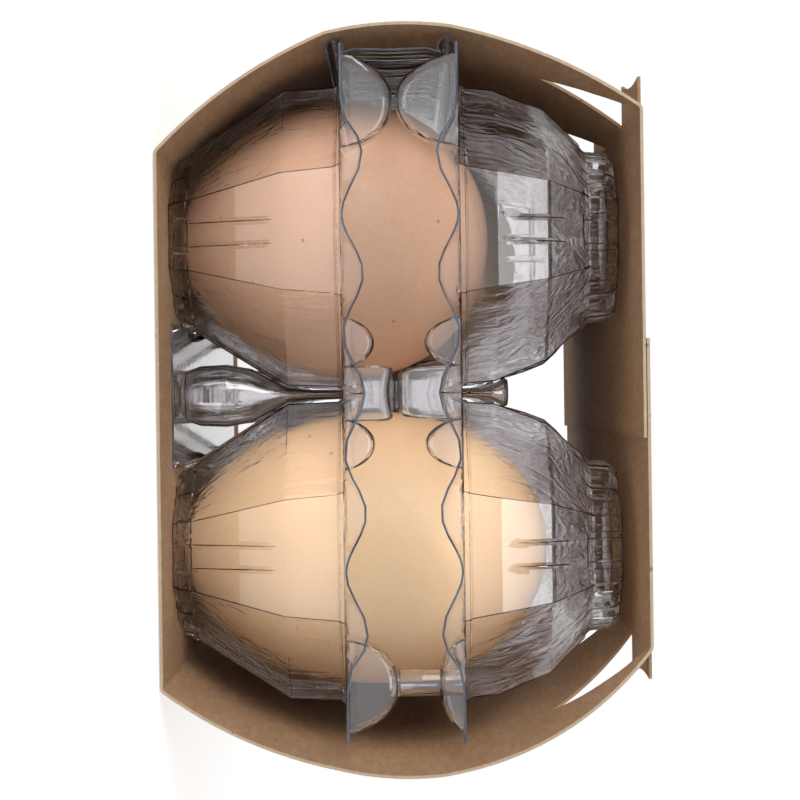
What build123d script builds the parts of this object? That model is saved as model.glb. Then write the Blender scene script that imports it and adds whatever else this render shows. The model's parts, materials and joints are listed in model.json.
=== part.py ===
"""A six-egg carton: a clear formed tray and lid, hinged by a spine strip, inside a kraft board sleeve.

Frame: millimetres, +Z up, +Y along the carton, origin on the sleeve's underside.
The hinge is on the -X side and the latch on the +X side. Eggs 1 to 3 stand in the hinge-side row and
4 to 6 in the latch-side row, each row counted from the front (-Y) end.

The sleeve opens with the clamshell. Its hinge side folds on two scores that lie beside the
clamshell's two living hinges, and its latch side parts along a perforated line.
"""

import os
from math import cos, hypot, pi, sqrt, tan

from build123d import *

# ---- Eggs and their cells -------------------------------------------------------------------------
EGG_WIDTH = 43.2  # diameter of the widest egg that the cells are made for
CELL_ROOM = 2.8  # how much wider a cell's mouth is than that egg
CELL_WEB = 2.0  # rim left between the mouths of two neighbouring cells
COLUMNS = 3  # cells along the carton
ROWS = 2  # cells across the carton
EGG_CLEARANCE = 0.35  # between an egg and the cell it stands in
# Length of each egg, how much slimmer it is than the widest one, and its bluntness, which moves
# its widest place up the egg.
EGGS = {
    "egg_1": (47.8, 0.2, 0.10),
    "egg_2": (54.6, 0.0, 0.16),
    "egg_3": (56.0, 0.4, 0.14),
    "egg_4": (56.4, 0.8, 0.06),
    "egg_5": (55.2, 0.2, 0.12),
    "egg_6": (53.6, 0.1, 0.15),
}
CELL_MOUTH = EGG_WIDTH + CELL_ROOM  # across the flats of a cell where it meets its rim
CELL_PITCH = CELL_MOUTH + CELL_WEB  # centre to centre of neighbouring cells, both ways

# ---- Clear sheet ----------------------------------------------------------------------------------
SHEET = 0.4  # wall of the formed sheet
CLAM_SHIFT = -1.0  # the clamshell sits this far from the sleeve's middle, towards the hinge
RIM_SIDE = 3.9  # how far the rim reaches past the cells on the hinge and latch sides
RIM_END = 3.0  # how far the rim reaches past the cells at the two ends
TRAY_RIM_TOP = 27.0  # height of the tray rim's upper face
LID_RIM_BOTTOM = 44.4  # height of the lid rim's lower face
POST_JOINT = 34.8  # height where tray posts meet lid posts
POST_GAP = 0.3  # between a tray post and the lid post above it
WAVE_PITCH = 17.3  # the end lips' wave, crest to crest
WAVE_HEIGHT = 3.0  # crest height of the lip above its rim
WAVE_DEPTH = 2.6  # trough to crest
# Height of each ring of a cell above its floor or below its top, and how much narrower than the
# mouth it is across its flats.
TRAY_FLOOR_TAPER, TRAY_HEEL_TAPER, TRAY_SHOULDER_TAPER = 25.0, 19.5, 1.3
TRAY_HEEL, TRAY_SHOULDER = 3.0, 17.6
LID_TOP_TAPER, LID_CAP_TAPER, LID_NECK_TAPER, LID_SHOULDER_TAPER = 25.0, 20.0, 19.0, 1.3
LID_TOP_HEIGHT = 68.9  # height of the lid's flat tops
LID_CAP, LID_NECK, LID_SHOULDER = 1.4, 5.0, 17.6

POST_BASE_RADIUS, POST_TOP_RADIUS = 4.8, 3.4
CORNER_POST_INSET = 4.8  # corner and edge posts' centres, in from the rim's outer edge
STUD_RADIUS = 2.0  # the latch stud
STUD_DEPTH = 1.6  # how far the stud reaches into its socket
STUD_CLEARANCE = 0.3
SPINE_GAP = 0.15  # between the spine strip's face and the edges of the two rims it joins
SPINE_INSET = 4.0  # the spine stops this far short of the rims' ends
SPINE_TOP_DROP = 0.5  # the spine stops this far below the lid rim, to let the lid swing clear

# ---- Kraft board sleeve ---------------------------------------------------------------------------
BOARD = 0.45
SLEEVE_END = 1.0  # how far the sleeve reaches past the clamshell at each end
SLEEVE_HEIGHT = 71.4
BASE_TAPER, BASE_SHIFT = 23.6, 2.6  # how much narrower than the rims the base is, and its rack
TOP_TAPER, TOP_SHIFT = 23.2, -2.8  # the same for the top, which is racked the other way
# Each side bows out between its creases. A score is (distance out from the rims' edge, height).
HINGE_SCORE_ROOMS = ((1.5, 24.8), (2.3, 43.1))  # the sleeve's two fold lines
LATCH_SCORE_ROOMS = ((3.5, 25.5), (4.6, 41.0))  # the upper one is the perforated tear line
HINGE_BOWS = (1.6, 0.85, 1.5)  # how far each stretch between scores stands out from its chord
LATCH_BOWS = (1.55, 0.7, 3.5)
SCORE_GAP = 0.2  # hairline left where two leaves of the sleeve meet at a fold or tear line
INNER_FLAP = 48.0  # reach of the hinge-side top flap from its crease
FLAP_OVERLAP = 14.4  # how far the latch-side top flap lies over the inner one
GLUE = 0.12  # thickness of the glue between the flaps
GLUE_WIDTH = 5.0
TRAY_STANDOFF = 0.25  # between the tray's feet and the sleeve's base

# ---- Die-cut notches along the two top creases ----------------------------------------------------
NOTCHES = 3
NOTCH_LENGTH = 22.5  # along the crease
NOTCH_REACH = 13.6  # down the side panel, measured upright
NOTCH_END = 2.8  # from the sleeve's front end to the first notch
NOTCH_TIP = 0.78  # the point of the notch, as a share of its length
CREASE_TAB_NEAR, CREASE_TAB_FAR = 4.6, 6.4  # reach of the tab left in the plane of the top
SIDE_TAB = 9.5  # length of the tab left standing from the side panel

# ---- Places that follow from the sizes above ------------------------------------------------------
CELL_X = [CLAM_SHIFT + (i - (ROWS - 1) / 2) * CELL_PITCH for i in range(ROWS)]
CELL_Y = [(j - (COLUMNS - 1) / 2) * CELL_PITCH for j in range(COLUMNS)]
RIM_HALF_X = (ROWS - 1) / 2 * CELL_PITCH + CELL_MOUTH / 2 + RIM_SIDE
RIM_HALF_Y = (COLUMNS - 1) / 2 * CELL_PITCH + CELL_MOUTH / 2 + RIM_END
HINGE_SCORES = [(RIM_HALF_X - CLAM_SHIFT + room, height) for room, height in HINGE_SCORE_ROOMS]
LATCH_SCORES = [(RIM_HALF_X + CLAM_SHIFT + room, height) for room, height in LATCH_SCORE_ROOMS]
SLEEVE_LENGTH = 2 * (RIM_HALF_Y + SLEEVE_END)
BASE_WIDTH = 2 * RIM_HALF_X - BASE_TAPER
TOP_WIDTH = 2 * RIM_HALF_X - TOP_TAPER
OUTER_FLAP = TOP_WIDTH - INNER_FLAP + FLAP_OVERLAP  # reach of the latch-side flap from its crease
TRAY_FLOOR = BOARD + TRAY_STANDOFF
FLAP_STEP = BOARD + GLUE  # the inner flap lies this far under the outer one
TRAY_RINGS = [
    (TRAY_FLOOR, CELL_MOUTH - TRAY_FLOOR_TAPER),
    (TRAY_FLOOR + TRAY_HEEL, CELL_MOUTH - TRAY_HEEL_TAPER),
    (TRAY_FLOOR + TRAY_SHOULDER, CELL_MOUTH - TRAY_SHOULDER_TAPER),
    (TRAY_RIM_TOP, CELL_MOUTH),
]
LID_RINGS = [
    (LID_TOP_HEIGHT, CELL_MOUTH - LID_TOP_TAPER),
    (LID_TOP_HEIGHT - LID_CAP, CELL_MOUTH - LID_CAP_TAPER),
    (LID_TOP_HEIGHT - LID_NECK, CELL_MOUTH - LID_NECK_TAPER),
    (LID_TOP_HEIGHT - LID_SHOULDER, CELL_MOUTH - LID_SHOULDER_TAPER),
    (LID_RIM_BOTTOM, CELL_MOUTH),
]
FACET_TO_CORNER = 1 / cos(pi / 8)


# ---- Cells ----------------------------------------------------------------------------------------
def octagon(width, height):
    """A level eight-sided outline of this width across its flats, with flats square to X and Y."""
    ring = RegularPolygon(width / 2 * FACET_TO_CORNER, 8, rotation=22.5)
    return Plane.XY.offset(height) * ring


def stack(rings):
    """The solid that joins level octagons, each given as (height, width)."""
    shape = None
    for low, high in zip(rings, rings[1:]):
        step = loft([octagon(low[1], low[0]), octagon(high[1], high[0])], ruled=True)
        shape = step if shape is None else shape + step
    return shape


def wall_slant(lower, upper):
    """How much further apart two slanting walls stand, level, than square to themselves."""
    rise, run = upper[0] - lower[0], (upper[1] - lower[1]) / 2
    return hypot(rise, run) / abs(rise)


def hollow_rings(rings):
    """The same rings for the inside of the cell, a sheet's thickness in from the outside."""
    sense = 1 if rings[1][0] > rings[0][0] else -1
    inside = []
    for i, (height, width) in enumerate(rings):
        spans = [wall_slant(*pair) for pair in zip(rings[max(0, i - 1) :], rings[i : i + 2][1:])]
        neighbour = rings[i + 1] if i + 1 < len(rings) else rings[i - 1]
        slant = wall_slant((height, width), neighbour) if not spans else spans[-1]
        inside.append((height, width - 2 * SHEET * min(slant, 1.6)))
    first_height = inside[0][0] + sense * SHEET
    inside[0] = (first_height, inside[0][1])
    return inside


def cell_cup(rings):
    """One egg cell as a thin faceted cup, open at its rim."""
    outside = stack(rings)
    inside = stack(hollow_rings(rings))
    return outside - inside


# ---- Rims, posts and lips -------------------------------------------------------------------------
def post_places():
    """Middle of each post: four corners, the gaps along the sides and ends, and between four cells."""
    across = [-1, 1]
    edge_x, edge_y = RIM_HALF_X - CORNER_POST_INSET, RIM_HALF_Y - CORNER_POST_INSET
    between_y = [(a + b) / 2 for a, b in zip(CELL_Y, CELL_Y[1:])]
    corners = [(CLAM_SHIFT + sx * edge_x, sy * edge_y) for sx in across for sy in across]
    sides = [(CLAM_SHIFT + sx * edge_x, y) for sx in across for y in between_y]
    ends = [(CLAM_SHIFT, sy * edge_y) for sy in across]
    middles = [(CLAM_SHIFT, y) for y in between_y]
    return corners, sides, ends, middles


def cone_post(place, root, tip):
    """A hollow tapered post from height root to height tip, closed at its tip."""
    sense = 1 if tip > root else -1
    x, y = place
    wide = Plane((x, y, root)) * Circle(POST_BASE_RADIUS)
    narrow = Plane((x, y, tip)) * Circle(POST_TOP_RADIUS)
    wide_in = Plane((x, y, root)) * Circle(POST_BASE_RADIUS - SHEET)
    narrow_in = Plane((x, y, tip - sense * SHEET)) * Circle(POST_TOP_RADIUS - SHEET)
    return loft([wide, narrow]) - loft([wide_in, narrow_in])


def wavy_lip(rim_face, sense, end):
    """The waved lip that stands on one end of a rim, away from the cell floors."""
    flat = 2 * POST_BASE_RADIUS
    half = RIM_HALF_X - flat / 2
    crests = 4 * round(2 * half / WAVE_PITCH)
    points = []
    for i in range(crests + 1):
        x = -half + 2 * half * i / crests
        lift = WAVE_HEIGHT - WAVE_DEPTH * (1 - cos(2 * pi * x / WAVE_PITCH)) / 2
        points.append((CLAM_SHIFT + x, rim_face + sense * lift))
    wave = Spline(*points)
    left, right = points[0], points[-1]
    outline = wave + Polyline(right, (right[0], rim_face), (left[0], rim_face), left)
    y = end * (RIM_HALF_Y - SHEET / 2)
    lip = extrude(make_face(outline.edges()), amount=SHEET / 2, both=True)
    return Pos(0, y, 0) * Rot(90, 0, 0) * lip


def rim(face, sense, post_tip, places):
    """A rim plate with a hole over each cell, its posts, and the waved lips at its two ends."""
    plate = Pos(CLAM_SHIFT, 0, face - sense * SHEET / 2) * Box(
        2 * RIM_HALF_X, 2 * RIM_HALF_Y, SHEET
    )
    plate = plate.solid()
    low, high = sorted((face - sense * 2 * SHEET, face + sense * 2 * SHEET))
    for x in CELL_X:
        for y in CELL_Y:
            mouth = loft([octagon(CELL_MOUTH, low), octagon(CELL_MOUTH, high)], ruled=True)
            plate -= Pos(x, y, 0) * mouth
    for x, y in places:
        hole = Pos(x, y, face) * Cylinder(POST_BASE_RADIUS - SHEET, 4 * SHEET)
        plate = plate - hole + cone_post((x, y), face - sense * SHEET, post_tip)
    for end in (-1, 1):
        plate += wavy_lip(face - sense * SHEET / 2, sense, end)
    return plate


# ---- Latch ----------------------------------------------------------------------------------------
def latch_places():
    """The latch-side corners, where the lid has a stud and the tray post has a socket."""
    corners = post_places()[0]
    return [place for place in corners if place[0] > CLAM_SHIFT]


def tray_rim():
    corners, sides, ends, middles = post_places()
    top = POST_JOINT - POST_GAP / 2
    shape = rim(TRAY_RIM_TOP, 1, top, corners + sides + ends + middles)
    for x, y in latch_places():
        shape -= Pos(x, y, top) * Cylinder(STUD_RADIUS + STUD_CLEARANCE, 4 * SHEET)
    return shape


def lid_rim():
    corners, sides, ends, middles = post_places()
    latches = latch_places()
    plain = [place for place in corners if place not in latches] + sides + ends + middles
    return rim(LID_RIM_BOTTOM, -1, POST_JOINT + POST_GAP / 2, plain)


def latch_studs():
    """A hollow stud under each latch-side corner of the lid, with a shoulder that meets its socket."""
    studs = []
    tip = POST_JOINT - STUD_DEPTH
    shoulder = POST_JOINT + POST_GAP / 2
    for x, y in latch_places():
        stud = Pos(x, y, (tip + LID_RIM_BOTTOM) / 2) * Cylinder(STUD_RADIUS, LID_RIM_BOTTOM - tip)
        collar_height = LID_RIM_BOTTOM - shoulder
        collar = Pos(x, y, shoulder + collar_height / 2) * Cylinder(
            STUD_RADIUS + 2 * STUD_CLEARANCE, collar_height
        )
        bore = Pos(x, y, (tip + SHEET + LID_RIM_BOTTOM) / 2) * Cylinder(
            STUD_RADIUS - SHEET, LID_RIM_BOTTOM - tip - SHEET
        )
        studs.append((stud + collar - bore).solid())
    return Compound(studs)


def hinge_spine():
    """The strip between the tray's and the lid's rims, with a living hinge along each long edge."""
    low, high = HINGE_SCORES[0][1] + SPINE_GAP, LID_RIM_BOTTOM - SPINE_TOP_DROP
    x = CLAM_SHIFT - RIM_HALF_X - SPINE_GAP - SHEET / 2
    length = 2 * (RIM_HALF_Y - SPINE_INSET)
    return (Pos(x, 0, (low + high) / 2) * Box(SHEET, length, high - low)).solid()


# ---- Eggs -----------------------------------------------------------------------------------------
def egg_radius(share, diameter, bluntness):
    """Radius of an egg at this share of its length up from its pointed end."""
    s = 2 * share - 1
    return diameter / 2 * sqrt(max(0.0, 1 - s * s)) * (1 + bluntness * s) / widest(bluntness)


def widest(bluntness, steps=400):
    """The largest value of the unscaled egg outline, so that the stated diameter is the real one."""
    shares = [2 * i / steps - 1 for i in range(steps + 1)]
    return max(sqrt(max(0.0, 1 - s * s)) * (1 + bluntness * s) for s in shares)


def seat_height(length, diameter, bluntness, steps=200):
    """Height of an egg's pointed end when the egg has come to rest on its cell's floor or walls."""
    seat = TRAY_FLOOR + SHEET + EGG_CLEARANCE
    inside = hollow_rings(TRAY_RINGS)
    for (z0, w0), (z1, w1) in zip(inside, inside[1:]):
        slope = (w1 - w0) / 2 / (z1 - z0)
        slack = EGG_CLEARANCE * hypot(1, slope)
        for i in range(steps + 1):
            radius = egg_radius(i / steps, diameter, bluntness)
            touch = z0 + (radius + slack - w0 / 2) / slope
            if z0 <= touch <= z1:
                seat = max(seat, touch - length * i / steps)
    return seat


def egg(length, diameter, bluntness, place):
    """A solid egg, pointed end down, standing in the cell at this (x, y)."""
    count = 24
    angles = [pi * i / count for i in range(count + 1)]
    shares = [(1 - cos(a)) / 2 for a in angles]
    outline = [(egg_radius(s, diameter, bluntness), length * s) for s in shares]
    curve = Spline(*outline, tangents=((1, 0), (-1, 0)))
    half = make_face((curve + Line(outline[-1], outline[0])).edges())
    solid = revolve(Plane.XZ * half, Axis.Z)
    return Pos(place[0], place[1], seat_height(length, diameter, bluntness)) * solid.solid()


# ---- Sleeve ---------------------------------------------------------------------------------------
def side_outline(side, top):
    """Outer corners and mid-bow points of one side panel, from base crease to top crease."""
    scores, bows = (HINGE_SCORES, HINGE_BOWS) if side < 0 else (LATCH_SCORES, LATCH_BOWS)
    knots = [(BASE_SHIFT + side * BASE_WIDTH / 2, 0)]
    knots += [(side * reach, height) for reach, height in scores]
    knots += [(TOP_SHIFT + side * TOP_WIDTH / 2, top)]
    mids = []
    for (x0, z0), (x1, z1), bow in zip(knots, knots[1:], bows):
        run = hypot(x1 - x0, z1 - z0)
        out_x, out_z = side * (z1 - z0) / run, -side * (x1 - x0) / run
        mids.append(((x0 + x1) / 2 + out_x * bow, (z0 + z1) / 2 + out_z * bow))
    return knots, mids


def upright(shape, length=SLEEVE_LENGTH):
    """Stands a flat (x, z) face up and draws it out along the whole sleeve."""
    return Rot(90, 0, 0) * extrude(shape, amount=length / 2, both=True)


def side_top(side):
    """Height of the outer face of the flap that folds from this side's top crease."""
    return SLEEVE_HEIGHT - (FLAP_STEP if side < 0 else 0)


def side_shell(side):
    """One bowed side panel, before its notches are cut."""
    top = side_top(side)
    knots, mids = side_outline(side, top)
    arcs = Curve() + [
        ThreePointArc(a, m, b) for a, m, b in zip(knots, mids, knots[1:])
    ]
    core = side * 10
    closing = Polyline(knots[-1], (core, top), (core, 0), knots[0])
    whole = make_face((arcs + closing).edges())
    inner = offset(whole, -BOARD, kind=Kind.INTERSECTION)
    keep = Pos(side * 60, top / 2) * Rectangle(80, top - 2 * BOARD)
    return upright((whole - inner) & keep)


def notch_starts():
    return [-SLEEVE_LENGTH / 2 + NOTCH_END + i * CELL_PITCH for i in range(NOTCHES)]


def notch_outline(start, top):
    """The notch in a side panel, as (y, z): wide at the crease, pointed down the panel."""
    return [
        (start, top + BOARD),
        (start, top - BOARD),
        (start + NOTCH_TIP * NOTCH_LENGTH / 2, top - 0.46 * NOTCH_REACH),
        (start + NOTCH_TIP * NOTCH_LENGTH, top - NOTCH_REACH),
        (start + NOTCH_LENGTH, top - BOARD),
        (start + NOTCH_LENGTH, top + BOARD),
    ]


def reach_at(side, height):
    """How far out, in x, the outer face of a side panel's top stretch is at this height."""
    top = side_top(side)
    knots, mids = side_outline(side, top)
    arc = ThreePointArc(knots[-2], mids[-1], knots[-1])
    return min((arc @ (i / 200) for i in range(201)), key=lambda p: abs(p.Y - height)).X


def side_tab(side, start):
    """The tab that the notch leaves standing straight out from the bowed panel."""
    top = side_top(side)
    root_low, root_high = top - NOTCH_REACH - 1.2, top - 0.5 * NOTCH_REACH
    x_low, x_high = reach_at(side, root_low), reach_at(side, root_low + 3)
    lean = (x_high - x_low) / 3
    y_low = start + NOTCH_TIP * NOTCH_LENGTH + 0.6
    y_high = start + NOTCH_TIP * NOTCH_LENGTH / 2 - 0.6
    corners = [(y_low, root_low), (y_high + 0.5, root_high + 0.6), (y_high + 3.5, root_low + SIDE_TAB)]
    inward = side * BOARD
    face = [Vector(x_low + lean * (z - root_low) - inward * 0.5, y, z) for y, z in corners]
    plate = Face(Wire.make_polygon(face, close=True))
    return Solid.extrude(plate, Vector(inward, 0, 0))


def side_panel(side):
    """A side panel with its notches cut and their tabs left standing."""
    shape = side_shell(side).solid()
    top = side_top(side)
    for start in notch_starts():
        outline = [Vector(0, y, z) for y, z in notch_outline(start, top)]
        hole = Solid.extrude(Face(Wire.make_polygon(outline, close=True)), Vector(side * 80, 0, 0))
        shape -= hole
    for start in notch_starts():
        shape += side_tab(side, start)
    return shape


def leaf(shape, low, high):
    """The stretch of a side panel between two heights, short of each by half the hairline gap."""
    middle = (low + high) / 2
    slab = Pos(0, 0, middle) * Box(4 * BASE_WIDTH, 2 * SLEEVE_LENGTH, high - low - SCORE_GAP)
    return (shape & slab).solid()


def side_leaves():
    """The leaves that the two side panels fold and tear into."""
    beyond = SLEEVE_HEIGHT
    fold_low, fold_high = (height for reach, height in HINGE_SCORES)
    tear = LATCH_SCORES[1][1]
    hinge_side, latch_side = side_panel(-1), side_panel(1)
    return {
        "sleeve_hinge_side_lower": leaf(hinge_side, -beyond, fold_low),
        "sleeve_spine": leaf(hinge_side, fold_low, fold_high),
        "sleeve_hinge_side_upper": leaf(hinge_side, fold_high, 2 * beyond),
        "sleeve_latch_side_lower": leaf(latch_side, -beyond, tear),
        "sleeve_latch_side_upper": leaf(latch_side, tear, 2 * beyond),
    }


def top_flap(side):
    """The top flap that folds from one side, with the notches' tabs left in its plane."""
    top = side_top(side)
    crease = TOP_SHIFT + side * TOP_WIDTH / 2
    reach = INNER_FLAP if side < 0 else OUTER_FLAP
    centre = (crease - side * reach / 2, 0, top - BOARD / 2)
    flap = (Pos(*centre) * Box(reach, SLEEVE_LENGTH, BOARD)).solid()
    for start in notch_starts():
        end = start + NOTCH_LENGTH
        root = crease - side * BOARD
        middle = (start + end) / 2
        low_reach = side * (CREASE_TAB_NEAR * 0.92)
        edge = Curve() + [
            Line((root, start), (crease + side * CREASE_TAB_NEAR, start)),
            ThreePointArc(
                (crease + side * CREASE_TAB_NEAR, start),
                (crease + low_reach, middle),
                (crease + side * CREASE_TAB_FAR, end),
            ),
            Polyline((crease + side * CREASE_TAB_FAR, end), (root, end), (root, start)),
        ]
        tab = extrude(Plane.XY.offset(top - BOARD) * make_face(edge.edges()), amount=BOARD)
        flap += tab
    return flap


def sleeve_base():
    return (Pos(BASE_SHIFT, 0, BOARD / 2) * Box(BASE_WIDTH, SLEEVE_LENGTH, BOARD)).solid()


def glue_lines():
    """Two lines of glue between the flaps, one near each flap's free edge."""
    inner_edge = TOP_SHIFT - TOP_WIDTH / 2 + INNER_FLAP
    outer_edge = TOP_SHIFT + TOP_WIDTH / 2 - OUTER_FLAP
    lines = []
    for x in (inner_edge - GLUE_WIDTH, outer_edge + GLUE_WIDTH):
        height = SLEEVE_HEIGHT - BOARD - GLUE / 2
        lines.append((Pos(x, 0, height) * Box(GLUE_WIDTH / 2, SLEEVE_LENGTH - 12, GLUE)).solid())
    return Compound(lines)


# ---- Everything, node by node ---------------------------------------------------------------------
def cell_places():
    return [(x, y) for x in CELL_X for y in CELL_Y]


def nodes():
    yield "sleeve_base", sleeve_base()
    yield from side_leaves().items()
    yield "sleeve_flap_inner", top_flap(-1)
    yield "sleeve_flap_outer", top_flap(1)
    yield "sleeve_glue", glue_lines()
    tray_cup, lid_cup = cell_cup(TRAY_RINGS), cell_cup(LID_RINGS)
    for i, (x, y) in enumerate(cell_places(), 1):
        yield f"tray_cell_{i}", Pos(x, y, 0) * tray_cup
        yield f"lid_cell_{i}", Pos(x, y, 0) * lid_cup
    yield "tray_rim", tray_rim()
    yield "lid_rim", lid_rim()
    yield "latch_studs", latch_studs()
    yield "hinge_spine", hinge_spine()
    for (name, (length, slimness, bluntness)), place in zip(EGGS.items(), cell_places()):
        yield name, egg(length, EGG_WIDTH - slimness, bluntness, place)


def main():
    os.makedirs("parts", exist_ok=True)
    for name, shape in nodes():
        export_step(shape, f"parts/{name}.step")
        print(name, round(shape.volume), "mm3")


main()
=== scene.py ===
# %% [markdown]
# # A six-egg carton in clear sheet and kraft board
# The carton is a clear formed tray and lid, hinged along one side, that slides into a sleeve of kraft
# board. The CAD model fixes the outer size, the places of the cells and every moving part. This script
# gives the carton its looks: the thin faceted sheet, the folded board and the egg shells. Its sheet is
# thinner than the CAD's, and its webs and keel aren't in the CAD. Lengths are in metres, and MM turns
# millimetres into metres, because that is how such a carton is drawn.

import json
import math

import bmesh
import bpy
from mathutils import Matrix, Vector


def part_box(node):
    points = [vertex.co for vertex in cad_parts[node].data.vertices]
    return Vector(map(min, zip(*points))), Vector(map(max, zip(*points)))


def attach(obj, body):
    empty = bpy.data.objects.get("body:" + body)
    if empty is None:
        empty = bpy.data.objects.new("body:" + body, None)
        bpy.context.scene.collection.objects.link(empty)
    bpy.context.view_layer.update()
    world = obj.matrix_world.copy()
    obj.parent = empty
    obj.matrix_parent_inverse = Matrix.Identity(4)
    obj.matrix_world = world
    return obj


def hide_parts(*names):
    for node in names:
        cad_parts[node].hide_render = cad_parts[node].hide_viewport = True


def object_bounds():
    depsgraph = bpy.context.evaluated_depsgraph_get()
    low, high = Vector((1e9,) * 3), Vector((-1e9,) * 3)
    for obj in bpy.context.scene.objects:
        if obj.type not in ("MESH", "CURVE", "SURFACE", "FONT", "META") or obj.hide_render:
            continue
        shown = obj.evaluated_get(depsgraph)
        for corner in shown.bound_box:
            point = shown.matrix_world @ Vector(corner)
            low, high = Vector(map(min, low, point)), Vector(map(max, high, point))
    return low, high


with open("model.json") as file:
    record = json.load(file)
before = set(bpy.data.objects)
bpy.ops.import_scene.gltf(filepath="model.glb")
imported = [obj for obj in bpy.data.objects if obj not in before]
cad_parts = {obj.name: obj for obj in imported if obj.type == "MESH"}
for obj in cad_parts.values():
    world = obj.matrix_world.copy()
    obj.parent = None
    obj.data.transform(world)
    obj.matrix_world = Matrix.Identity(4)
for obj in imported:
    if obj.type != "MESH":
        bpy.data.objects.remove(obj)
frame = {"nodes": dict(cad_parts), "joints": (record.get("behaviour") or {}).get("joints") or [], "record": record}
cad_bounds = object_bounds()
MM = 0.001
COLUMNS, ROWS = 3, 2
joints = {joint["name"]: joint for joint in frame["joints"]}

# %% [markdown]
# ## Helpers for modelling
# Blender's operators act on whatever is selected, so every piece starts by clearing the selection.
# Many pieces here are thin sheets that bend by a rule. Such a sheet starts as a grid primitive, its
# points are put where the rule says, and a Solidify modifier then gives it its thickness.


# %% Selection, modes and modifiers
def clear_selection():
    if bpy.context.object and bpy.context.object.mode != "OBJECT":
        bpy.ops.object.mode_set(mode="OBJECT")
    bpy.ops.object.select_all(action="DESELECT")


def only(piece):
    clear_selection()
    piece.select_set(True)
    bpy.context.view_layer.objects.active = piece


def apply_all(piece):
    only(piece)
    for modifier in list(piece.modifiers):
        bpy.ops.object.modifier_apply(modifier=modifier.name)


def in_edit_mode(piece, *steps):
    """Runs mesh operators on everything in a piece."""
    only(piece)
    bpy.ops.object.mode_set(mode="EDIT")
    bpy.ops.mesh.select_all(action="SELECT")
    for step in steps:
        step()
    bpy.ops.object.mode_set(mode="OBJECT")


def settle(piece):
    """Moves a piece's place into its mesh, so that its object sits at the origin."""
    only(piece)
    bpy.ops.object.transform_apply(location=True, rotation=True, scale=True)


def report(piece):
    size = [round(value / MM, 1) for value in piece.dimensions]
    print(piece.name, "faces", len(piece.data.polygons), "size mm", size)


# %% Sheets that follow a rule
def shaped_grid(name, columns, rows, place):
    """A grid primitive whose point in column i and row j is moved to place(i, j), in millimetres."""
    clear_selection()
    bpy.ops.mesh.primitive_grid_add(x_subdivisions=columns, y_subdivisions=rows, size=1)
    sheet = bpy.context.object
    sheet.name = name
    for point in sheet.data.vertices:
        column = round((point.co.x + 0.5) * columns)
        row = round((point.co.y + 0.5) * rows)
        point.co = Vector(place(column, row)) * MM
    return sheet


def join(name, pieces):
    clear_selection()
    for piece in pieces:
        piece.select_set(True)
    bpy.context.view_layer.objects.active = pieces[0]
    bpy.ops.object.join()
    pieces[0].name = name
    return pieces[0]


def weld(piece, distance=0.02):
    in_edit_mode(
        piece,
        lambda: bpy.ops.mesh.remove_doubles(threshold=distance * MM),
        lambda: bpy.ops.mesh.normals_make_consistent(inside=False),
    )


def thicken(piece, thickness, offset):
    """Gives a sheet its thickness. A second material, if it has one, goes on the cut edges."""
    solid = piece.modifiers.new("thickness", "SOLIDIFY")
    solid.thickness = thickness * MM
    solid.offset = offset
    solid.material_offset_rim = 1
    solid.use_even_offset = True
    solid.use_rim = True
    apply_all(piece)


def smooth(piece, degrees):
    only(piece)
    bpy.ops.object.shade_smooth_by_angle(angle=math.radians(degrees))


def smoothstep(value):
    value = min(1.0, max(0.0, value))
    return value * value * (3 - 2 * value)


# %% [markdown]
# ## Finishes
# Three things are seen here: clear sheet, kraft board and egg shell. None of them is one flat colour.
# The uneven colour, the fibres and the pores are node groups with named inputs and outputs, so that each
# material can use them at its own scale. They read Object coordinates, so they stay put on a moving part.

# %% A node group for uneven colour
def group(name, inputs, outputs):
    """An empty shader group with float inputs, a Vector input first, and the outputs named."""
    tree = bpy.data.node_groups.new(name, "ShaderNodeTree")
    tree.interface.new_socket("Vector", in_out="INPUT", socket_type="NodeSocketVector")
    for label, value in inputs.items():
        socket = tree.interface.new_socket(label, in_out="INPUT", socket_type="NodeSocketFloat")
        socket.default_value = value
    for label in outputs:
        tree.interface.new_socket(label, in_out="OUTPUT", socket_type="NodeSocketFloat")
    return tree, tree.nodes.new("NodeGroupInput"), tree.nodes.new("NodeGroupOutput")


def mottle_group():
    """Cloudy patches: Mask runs from 0 to 1, and Contrast says how hard the patches' edges are."""
    tree, source, target = group("mottle", {"Scale": 60.0, "Contrast": 2.0}, ["Mask"])
    noise = tree.nodes.new("ShaderNodeTexNoise")
    noise.inputs["Detail"].default_value = 6.0
    centred = tree.nodes.new("ShaderNodeMath")
    centred.operation = "SUBTRACT"
    centred.inputs[1].default_value = 0.5
    spread = tree.nodes.new("ShaderNodeMath")
    spread.operation = "MULTIPLY"
    back = tree.nodes.new("ShaderNodeMath")
    back.operation = "ADD"
    back.inputs[1].default_value = 0.5
    back.use_clamp = True
    link = tree.links.new
    link(source.outputs["Vector"], noise.inputs["Vector"])
    link(source.outputs["Scale"], noise.inputs["Scale"])
    link(noise.outputs[0], centred.inputs[0])
    link(centred.outputs[0], spread.inputs[0])
    link(source.outputs["Contrast"], spread.inputs[1])
    link(spread.outputs[0], back.inputs[0])
    link(back.outputs[0], target.inputs["Mask"])
    return tree


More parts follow.
